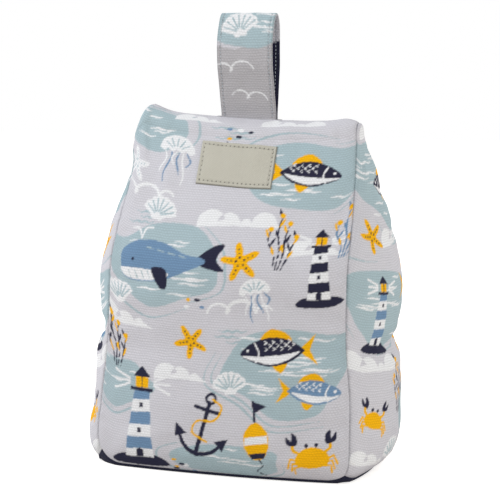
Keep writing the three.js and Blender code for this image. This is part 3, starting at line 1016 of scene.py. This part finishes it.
# Materials
class Nodes:
    """The shader nodes of a material or of the world, with short names for the kinds used here."""

    def __init__(self, owner):
        owner.use_nodes = True
        self.owner = owner
        self.tree = owner.node_tree
        self.shader = self.tree.nodes.get("Principled BSDF")

    def add(self, kind, **settings):
        node = self.tree.nodes.new(kind)
        for key, value in settings.items():
            setattr(node, key, value)
        return node

    def put(self, socket, value):
        """Links a socket to another node, or sets it to a number or a colour."""
        if isinstance(value, bpy.types.NodeSocket):
            self.tree.links.new(value, socket)
        else:
            socket.default_value = value

    def maths(self, operation, *values):
        node = self.add("ShaderNodeMath", operation=operation)
        for socket, value in zip(node.inputs, values):
            self.put(socket, value)
        return node.outputs[0]

    def times(self, first, second):
        return self.maths("MULTIPLY", first, second)

    def scaled(self, value, factor, offset):
        return self.maths("MULTIPLY_ADD", value, factor, offset)

    def attribute(self, name, output):
        return self.add("ShaderNodeAttribute", attribute_name=name).outputs[output]

    def place(self):
        return self.add("ShaderNodeNewGeometry").outputs["Position"]

    def split(self, vector):
        node = self.add("ShaderNodeSeparateXYZ")
        self.put(node.inputs[0], vector)
        return node.outputs[:2]

    def noise(self, vector, scale, detail):
        node = self.add("ShaderNodeTexNoise")
        for name, value in (("Scale", scale), ("Detail", detail), ("Vector", vector)):
            self.put(node.inputs[name], value)
        return node.outputs["Fac"]

    def paint(self, colour, factor):
        """Base colour: a colour, or a colour output, times a factor close to 1."""
        node = self.add("ShaderNodeVectorMath", operation="SCALE")
        self.put(node.inputs[0], colour)
        self.put(node.inputs["Scale"], factor)
        self.put(self.shader.inputs["Base Color"], node.outputs[0])

    def finish(self, height, relief, roughness):
        """The bump, with its relief in metres, and the gloss."""
        bump = self.add("ShaderNodeBump")
        for name, value in (("Strength", 0.6), ("Distance", relief), ("Height", height)):
            self.put(bump.inputs[name], value)
        self.put(self.shader.inputs["Normal"], bump.outputs["Normal"])
        self.shader.inputs["Roughness"].default_value = roughness
        self.shader.inputs["Specular IOR Level"].default_value = 0.2
        return self.owner


def plain_weave(nodes, flat, warp, weft):
    """Ribs across the cloth, broken by the warp threads that cross them and slightly uneven."""
    across, up = nodes.split(flat)
    wander = nodes.scaled(nodes.noise(flat, 0.12, 1.0), 1.8, up)
    across = nodes.maths("SINE", nodes.times(across, math.pi / warp))
    up = nodes.maths("SINE", nodes.times(wander, math.pi / weft))
    domes = nodes.scaled(nodes.times(across, up), 0.5, 0.5)
    ribs = nodes.maths("ABSOLUTE", up)
    return nodes.maths("ADD", nodes.times(domes, 0.4), nodes.times(ribs, 0.6))


def cotton(name, colour=None):
    """Matt woven cotton; colour is one colour, or None for the printed colours with their painted shade,
    kept on the points of the cloth.
    """
    nodes = Nodes(bpy.data.materials.new(name))
    flat = nodes.attribute("flat", "Vector")
    weave = plain_weave(nodes, flat, WARP, WEFT)
    slub = nodes.noise(flat, 0.3, 3.0)
    grain = nodes.noise(flat, 1.6, 2.0)
    uneven = nodes.scaled(nodes.noise(flat, 0.22, 2.0), 1.5, 0.25)
    # Painted shade: the colour is darker where the weave lies low, in the gaps between the threads.
    relief = nodes.times(nodes.maths("SUBTRACT", weave, WEAVE_LEVEL), uneven)
    factor = nodes.scaled(relief, WEAVE_GAP_SHADE, 1.0)
    factor = nodes.times(factor, nodes.scaled(slub, 0.08, 0.96))
    factor = nodes.times(factor, nodes.scaled(grain, 0.22, 0.89))
    nodes.paint(nodes.attribute("print_and_shade", "Color") if colour is None else colour, factor)
    return nodes.finish(nodes.maths("ADD", weave, grain), 0.0003, 0.92)


def twill(name):
    nodes = Nodes(bpy.data.materials.new(name))
    flat = nodes.attribute("flat", "Vector")
    slant = nodes.maths("ADD", *nodes.split(flat))
    lines = nodes.scaled(nodes.maths("SINE", nodes.times(slant, 2 * math.pi / TWILL_STEP)), 0.5, 0.5)
    grain = nodes.noise(flat, 2.4, 3.0)
    factor = nodes.times(nodes.scaled(lines, 0.12, 0.9), nodes.scaled(grain, 0.2, 0.9))
    nodes.paint(nodes.attribute("print_and_shade", "Color"), factor)
    return nodes.finish(nodes.maths("ADD", lines, grain), 0.0002, 0.85)


def grainy(name, colour, scale, detail, contrast, relief, roughness):
    """One colour with a grain in it, for sewing thread, the sand pouch and the fibre."""
    nodes = Nodes(bpy.data.materials.new(name))
    grain = nodes.noise(nodes.place(), scale, detail)
    nodes.paint(colour, nodes.scaled(grain, contrast, 1 - contrast / 2))
    return nodes.finish(grain, relief, roughness)


def thread(name, colour):
    return grainy(name, colour, 2500.0, 2.0, 0.4, 0.0001, 0.7)


def filling(name, colour):
    return grainy(name, colour, 160.0, 5.0, 0.3, 0.002, 0.95)


def dress(piece, material, nodes):
    piece.data.materials.append(material)
    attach(piece, "root")
    if nodes:
        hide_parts(*nodes)


# Body
def make_panels(walls, cloth):
    designs = (
        ("front_cloth", "front_panel", front_print, (0.0, 0.0), False),
        ("right_cloth", "right_gusset", gusset_print, (0.0, 0.0), False),
        ("back_cloth", "back_panel", front_print, (0.0, 0.0), True),
        ("left_cloth", "left_gusset", gusset_print, (4.0, 10.0), True),
    )
    for wall, (name, node, design, shift, turn) in zip(walls, designs):
        # The printed colours darkened by the painted shade along the seams.
        colours = painted(wall.across, wall.climb, design, shift, turn) * wall.shade.reshape(-1, 1)
        piece = cloth_piece(name, wall.points, wall.across, wall.climb, colours)
        dress(piece, cloth, [node])


def make_base(walls):
    points = build_base(walls)
    colours = np.tile(BASE_NAVY, (points.shape[0] * points.shape[1], 1))
    piece = cloth_piece("base_cloth", points, points[..., 0], points[..., 1], colours, outward=False)
    dress(piece, cotton("navy_cotton", BASE_NAVY), ["base_panel"])


def body_ring(height):
    """A level ring round the inside of the cloth."""
    t = np.linspace(-1, 1, 25)[:-1]
    s = np.linspace(-1, 1, 17)[:-1]
    ring = np.concatenate(four_walls(t, np.full_like(t, height), s, np.full_like(s, height)))
    reach = np.linalg.norm(ring[:, :2], axis=1, keepdims=True)
    ring[:, :2] *= np.maximum(1 - FILLING_INSET / reach, 0.1)
    ring[:, 2] = height
    return ring


def make_filling(name, node, material, span, rounding):
    """A closed soft body inside the cloth over a span of heights, rounded at its top and bottom."""
    low, high = span
    middle = (low + high) / 2
    rows = []
    for turn in np.linspace(0, math.pi, 44):
        height = middle - (high - low) / 2 * math.cos(turn)
        end = min(height - low, high - height)
        cap = math.sqrt(1 - (1 - min(end / rounding, 1)) ** 2)
        ring = body_ring(height)
        ring[:, :2] *= cap
        rows.append(ring)
    points = np.stack(rows)
    mesh = mesh_from(name, points, grid_quads(*points.shape[:2], closed=True))
    form = bmesh.new()
    form.from_mesh(mesh)
    bmesh.ops.remove_doubles(form, verts=form.verts, dist=1e-6)
    form.to_mesh(mesh)
    form.free()
    piece = new_object(name, mesh)
    dress(piece, material, [node])


# Strap
def strap_line():
    """Inner line of the strap cloth in the YZ plane, from the front tail to the back tail."""
    top = RIDGE_HEIGHT + STRAP_RISE - STRAP_THICKNESS
    centre = top - LOOP_HEIGHT
    leg = profile(
        (RIDGE_HEIGHT - STRAP_TAIL, STRAP_CLOSED),
        (RIDGE_HEIGHT + 3, STRAP_CLOSED + 0.1),
        (RIDGE_HEIGHT + 12, LOOP_DEPTH * 0.3),
        (RIDGE_HEIGHT + 24, LOOP_DEPTH * 0.66),
        (centre - 9, LOOP_DEPTH * 0.98),
        (centre, LOOP_DEPTH),
    )
    levels = np.arange(RIDGE_HEIGHT - STRAP_TAIL, centre, CELL)
    angle = np.linspace(math.pi, 0, 60)
    half = np.concatenate([-leg(levels), LOOP_DEPTH * np.cos(angle), leg(levels)[::-1]])
    z = np.concatenate([levels, centre + LOOP_HEIGHT * np.sin(angle), levels[::-1]])
    lean = LOOP_LEAN * ease((z - RIDGE_HEIGHT) / (centre - RIDGE_HEIGHT)) * ease((top - z) / LOOP_HEIGHT)
    return np.stack([half - lean, z], -1)


def strap_section():
    """The folded strap cut across, as (across, thickness) points: outer face, edge, inner face, edge."""
    half = STRAP_WIDTH / 2
    middle = STRAP_THICKNESS / 2
    across = np.linspace(-half, half, 60)
    turn = np.linspace(math.pi / 2, -math.pi / 2, 7)[1:-1]
    edge = np.stack([half + EDGE_ROLL * np.cos(turn), middle * (1 + np.sin(turn))], -1)
    outer = np.stack([across, np.full_like(across, STRAP_THICKNESS)], -1)
    inner = np.stack([-across, np.zeros_like(across)], -1)
    section = np.concatenate([outer, edge, inner, np.flip(edge, 0) * [-1, 1]])
    inward = half - np.abs(section[:, 0])
    sink = 0.3 * np.exp(-(((inward - STRAP_STITCH) / 0.7) ** 2)) + 0.25 * np.exp(-((inward / 0.9) ** 2))
    section[:, 1] -= sink * np.sign(np.round(section[:, 1] - middle, 6))
    return section


def make_strap(cloth):
    line = strap_line()
    tangent = np.gradient(line, axis=0)
    tangent /= np.linalg.norm(tangent, axis=1, keepdims=True)
    outward = np.stack([-tangent[:, 1], tangent[:, 0]], -1)
    length = arc_lengths(line)
    section = strap_section()
    x, along = np.meshgrid(section[:, 0], length)
    face, _ = np.meshgrid(section[:, 1], length)
    outside = face > STRAP_THICKNESS / 2
    offset = face + 0.15 * dapple(x, along, 14, 90) * np.where(outside, 1, 0.5)
    y, z = [line[:, [axis]] + outward[:, [axis]] * offset for axis in (0, 1)]
    points = np.stack([x + STRAP_SHIFT, y, z], -1)
    inward = STRAP_WIDTH / 2 - np.abs(x)
    # Painted shade: dark needle holes along the stitch lines, and a darker strip along the folded edges of
    # the strap.
    stitched = np.cos(along * 2 * math.pi / STITCH_STEP) > 0.3
    holes = stitched * np.exp(-(((inward - STRAP_STITCH) / 0.45) ** 2))
    shade = (1 - 0.45 * holes) * (1 - 0.25 * np.exp(-((inward / 0.5) ** 2)))
    colours = painted(x + STRAP_INSIDE * ~outside, along, strap_print) * shade.reshape(-1, 1)
    piece = cloth_piece("strap_cloth", points, x, along, colours, closed=True, outward=False)
    dress(piece, cloth, ["carry_strap"])
    where = np.arange(STRAP_TAIL + 3, length[-1] - STRAP_TAIL - 3, STITCH_STEP)
    rows = []
    for edge in (-1, 1):
        place = STRAP_SHIFT + edge * (STRAP_WIDTH / 2 - STRAP_STITCH)
        for side, depth in ((-1, STITCH_SUNK), (1, STRAP_THICKNESS - STITCH_SUNK)):
            path = np.insert(line + outward * depth, 0, place, axis=1)
            ups = np.insert(outward * side, 0, 0, axis=1)
            low = along_line(where, length, path)
            high = along_line(where + STITCH_LENGTH, length, path)
            rows.append((low, high, along_line(where, length, ups)))
    make_stitches("strap_stitches", rows, linear("b4bcc4"))


def along_line(where, length, values):
    return np.stack([np.interp(where, length, part) for part in values.T], -1)


def make_stitches(name, rows, colour):
    """Short arched threads between needle holes, all in one piece."""
    share = np.linspace(0, 1, 7)
    turn = np.linspace(0, 2 * math.pi, 6, endpoint=False)
    points = []
    quads = []
    for low, high, normal in rows:
        for start, end, up in zip(low, high, normal):
            run = end - start
            side = np.cross(run, up)
            side /= np.linalg.norm(side)
            middle = start + run * share[:, None] + up * (THREAD_ARCH * np.sin(share * math.pi))[:, None]
            radius = THREAD_RADIUS * np.sqrt(np.sin(share * math.pi)) + 1e-3
            spin = np.cos(turn)[:, None] * side + np.sin(turn)[:, None] * up
            offset = len(points) * share.size * turn.size
            quads.append(grid_quads(share.size, turn.size, closed=True, offset=offset))
            points.append(middle[:, None] + spin[None] * radius[:, None, None])
    mesh = mesh_from(name, np.stack(points), np.concatenate(quads))
    piece = new_object(name, mesh)
    dress(piece, thread(name + "_thread", tuple(colour)), [])


# Label
def label_grid(front, a, b):
    """Points and normals of the front cloth under the label; a runs across it and b up it."""
    turn = math.radians(LABEL_TURN)
    x = a * LABEL_WIDTH / 2
    y = (b - 0.5) * LABEL_HEIGHT
    x = x - LABEL_SLANT * y
    x, y = x * math.cos(turn) - y * math.sin(turn), x * math.sin(turn) + y * math.cos(turn)
    height = LABEL_LEVEL + LABEL_RUN / 2 + y * LABEL_RUN / LABEL_HEIGHT
    width = np.where(x < 0, left_width(height), right_width(height))
    t = (x + LABEL_SHIFT - sway(height)) / width
    column = np.interp(t, front.share[0], np.arange(front.share.shape[1]))
    row = np.interp(height, LEVELS, np.arange(len(LEVELS)))
    return sample(front.points, row, column), sample(grid_normals(front.points), row, column)


def make_label(front):
    a, b = np.meshgrid(np.linspace(-1, 1, 161), np.linspace(0, 1, 89))
    wall, normal = label_grid(front, a, b)
    across = a * LABEL_WIDTH / 2
    climb = b * LABEL_HEIGHT
    edge = np.minimum((1 - np.abs(a)) * LABEL_WIDTH / 2, np.minimum(b, 1 - b) * LABEL_HEIGHT)
    sewn = np.exp(-(((edge - LABEL_STITCH) / 0.8) ** 2))
    rise = LABEL_RISE + LABEL_THICKNESS * np.sqrt(np.clip(edge / 0.5, 0, 1)) - 0.35 * sewn
    rise += 0.12 * dapple(across, climb, 11, 95) * ease(edge / 3)
    points = wall + normal * rise[..., None]
    colours = np.tile(linear("c0beb3"), (a.size, 1))
    # Painted shade in the needle holes along the stitch line.
    holes = np.exp(-(((edge - LABEL_STITCH) / 0.35) ** 2)).ravel()
    pitch = np.where((1 - np.abs(a)) * LABEL_WIDTH / 2 < np.minimum(b, 1 - b) * LABEL_HEIGHT, climb, across)
    holes *= (np.cos(pitch.ravel() * 2 * math.pi / LABEL_STEP) > 0.55) * 0.75
    colours *= (1 - holes)[:, None]
    # Painted shade along the label's right and lower edges, the sides turned away from the light.
    from_shaded_edges = np.minimum((1 - a) * LABEL_WIDTH / 2, b * LABEL_HEIGHT)
    colours *= (1 - 0.6 * np.exp(-((from_shaded_edges / 0.45) ** 2))).reshape(-1, 1)
    piece = cloth_piece("label_ribbon", points, across, climb, colours)
    dress(piece, twill("label_twill"), ["front_label"])
    inset_x = 1 - LABEL_STITCH / (LABEL_WIDTH / 2)
    low = LABEL_STITCH / LABEL_HEIGHT
    high = 1 - low
    corners = np.array([(-inset_x, low), (inset_x, low), (inset_x, high), (-inset_x, high)])
    rows = []
    for start, end in zip(corners, np.roll(corners, -1, axis=0)):
        side = (end - start) * [LABEL_WIDTH / 2, LABEL_HEIGHT]
        count = round(np.linalg.norm(side) / LABEL_STEP)
        first = start + (end - start) * (np.arange(count)[:, None] + 0.2) / count
        last = first + (end - start) * 0.6 / count
        low, up = label_grid(front, first[:, 0], first[:, 1])
        high, _ = label_grid(front, last[:, 0], last[:, 1])
        rows.append((low + up * LABEL_THICKNESS * 0.8, high + up * LABEL_THICKNESS * 0.8, up))
    make_stitches("label_stitches", rows, linear("c9c8be"))


# Floor, light and camera
def make_stage():
    """A floor that shows as white paper but keeps the shadow."""
    bpy.ops.mesh.primitive_plane_add(size=6)
    floor = bpy.context.object
    floor.name = "floor"
    nodes = Nodes(bpy.data.materials.new("floor_paper"))
    paper = nodes.shader.outputs[0]
    nodes.put(nodes.shader.inputs["Base Color"], (0.84, 0.8, 0.76, 1))
    nodes.put(nodes.shader.inputs["Roughness"], 0.9)
    glow = nodes.add("ShaderNodeEmission")
    nodes.put(glow.inputs["Strength"], 0.62)
    both = nodes.add("ShaderNodeAddShader")
    nodes.put(both.inputs[0], paper)
    nodes.put(both.inputs[1], glow.outputs[0])
    show(nodes, paper, both.outputs[0], "Material Output")
    floor.data.materials.append(nodes.owner)


def show(nodes, plain, shown, output):
    """Camera, glossy and transmission rays see the shown shader, all other light meets the plain one."""
    path = nodes.add("ShaderNodeLightPath").outputs
    seen = path["Is Camera Ray"]
    for name in ("Is Glossy Ray", "Is Transmission Ray"):
        seen = nodes.maths("MAXIMUM", seen, path[name])
    mix = nodes.add("ShaderNodeMixShader")
    for socket, value in zip(mix.inputs, (seen, plain, shown)):
        nodes.put(socket, value)
    nodes.put(nodes.tree.nodes[output].inputs["Surface"], mix.outputs[0])


def area_light(name, place, size, power, colour=(1, 1, 1)):
    light = bpy.data.lights.new(name, "AREA")
    light.energy = power
    light.color = colour
    light.size = size
    lamp = bpy.data.objects.new(name, light)
    bpy.context.scene.collection.objects.link(lamp)
    lamp.location = place
    lamp.rotation_euler = (Vector((0, 0, 0.12)) - Vector(place)).to_track_quat("-Z", "Y").to_euler()


def make_light():
    area_light("key", (-0.95, -0.5, 0.9), 0.6, 10.5)
    area_light("side", (1.3, -0.5, 0.8), 1.0, 9.5, (1.0, 0.97, 0.9))
    area_light("rear", (0.2, 1.4, 1.3), 1.2, 9)
    world = bpy.data.worlds.new("studio")
    bpy.context.scene.world = world
    nodes = Nodes(world)
    soft = nodes.tree.nodes["Background"]
    shown = nodes.add("ShaderNodeBackground")
    for node, strength in ((soft, 0.45), (shown, 1.0)):
        nodes.put(node.inputs["Color"], (1, 1, 1, 1))
        nodes.put(node.inputs["Strength"], strength)
    show(nodes, soft.outputs[0], shown.outputs[0], "World Output")


def make_camera():
    """The photograph's view, as fitted to the outline, the seams and the label."""
    azimuth = math.radians(17.98)
    elevation = math.radians(8.8)
    distance = 1.045
    focal_pixels = 1672.0
    image_pixels = 500
    level = math.cos(elevation)
    back = Vector((math.sin(azimuth) * level, -math.cos(azimuth) * level, math.sin(elevation)))
    right = Vector((math.cos(azimuth), math.sin(azimuth), 0))
    up = back.cross(right)
    middle = Vector((0, 0, 0.110))
    place = middle + back * distance
    aim = middle + right * 0.00125 + up * 0.02244
    data = bpy.data.cameras.new("camera")
    data.sensor_width = 36
    data.lens = focal_pixels / image_pixels * data.sensor_width
    camera = bpy.data.objects.new("camera", data)
    bpy.context.scene.collection.objects.link(camera)
    camera.location = place
    camera.rotation_euler = (aim - place).to_track_quat("-Z", "Y").to_euler()
    bpy.context.scene.camera = camera


def make_door_stop():
    walls = build_walls()
    cloth = cotton("printed_cotton")
    make_panels(walls, cloth)
    make_base(walls)
    sand = filling("sand_pouch", (0.5, 0.38, 0.22))
    wadding = filling("polyester_fibre", (0.87, 0.86, 0.82))
    make_filling("sand_bag", "weight_bag", sand, SAND_SPAN, SAND_ROUNDING)
    make_filling("wadding", "fibre_filling", wadding, FIBRE_SPAN, FIBRE_ROUNDING)
    make_strap(cloth)
    make_label(walls[0])


make_camera()
make_stage()
make_light()
make_door_stop()
bpy.context.scene.view_settings.view_transform = "Standard"
